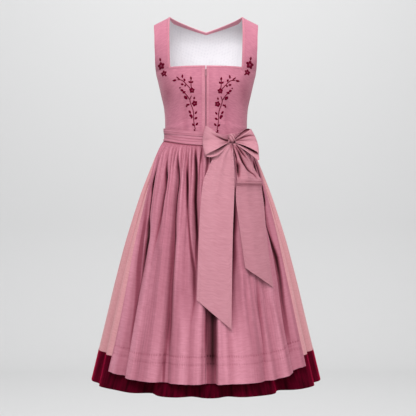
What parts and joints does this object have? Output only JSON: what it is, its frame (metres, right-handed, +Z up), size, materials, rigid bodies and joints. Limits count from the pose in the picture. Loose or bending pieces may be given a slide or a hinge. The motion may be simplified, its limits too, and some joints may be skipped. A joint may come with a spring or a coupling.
{
  "type": "dirndl dress with apron",
  "caption": "Sleeveless dirndl filled out as when worn: square neck, front zip, gathered skirt with velvet hem, and a satin apron tied in a side bow.",
  "frame": {"origin": "midway between the inner ends of the two shoulder seams, where the wearer's shoulders carry the dress", "axes": "+Z up, along the dress from hem to shoulders; the front faces -Y; +X is the wearer's left"},
  "size_m": [0.7261, 0.7049, 1.151],
  "materials": {
    "bodice_cotton": "matt woven cotton",
    "binding_cotton": "matt bias-cut cotton",
    "lining_cotton": "matt white figured cotton",
    "zip_tape": "matt woven tape",
    "zip_metal": "dull plated zinc",
    "skirt_cotton": "soft sheen cotton",
    "hem_velvet": "short cotton velvet pile",
    "apron_satin": "satin sheen"
  },
  "bodies": {
    "dress": {"bodice_front_left": "bodice_cotton", "bodice_front_right": "bodice_cotton", "bodice_back": "bodice_cotton", "neck_binding_front_left": "binding_cotton", "neck_binding_front_right": "binding_cotton", "neck_binding_back": "binding_cotton", "front_placket_left": "binding_cotton", "front_placket_right": "binding_cotton", "back_lining": "lining_cotton", "zip": "zip_tape", "zip_slider": "zip_metal", "skirt_front_left": "skirt_cotton", "skirt_front_right": "skirt_cotton", "skirt_back_left": "skirt_cotton", "skirt_back_right": "skirt_cotton", "hem_band_front_left": "hem_velvet", "hem_band_front_right": "hem_velvet", "hem_band_back_left": "hem_velvet", "hem_band_back_right": "hem_velvet", "apron": "apron_satin", "apron_band": "apron_satin", "tie_from_left": "apron_satin", "tie_from_right": "apron_satin", "bow_knot": "apron_satin", "bow_loop_left": "apron_satin", "bow_loop_right": "apron_satin", "bow_tail_left": "apron_satin", "bow_tail_right": "apron_satin"},
    "zip_tab": {"zip_pull": "zip_metal"}
  },
  "joints": [
    {"name": "zip_pull_swing", "type": "hinge", "parent": "dress", "child": "zip_tab", "pos_m": [0, -0.12464, -0.1884], "axis": [-1, 0, 0], "range_deg": [0, 150]}
  ]
}
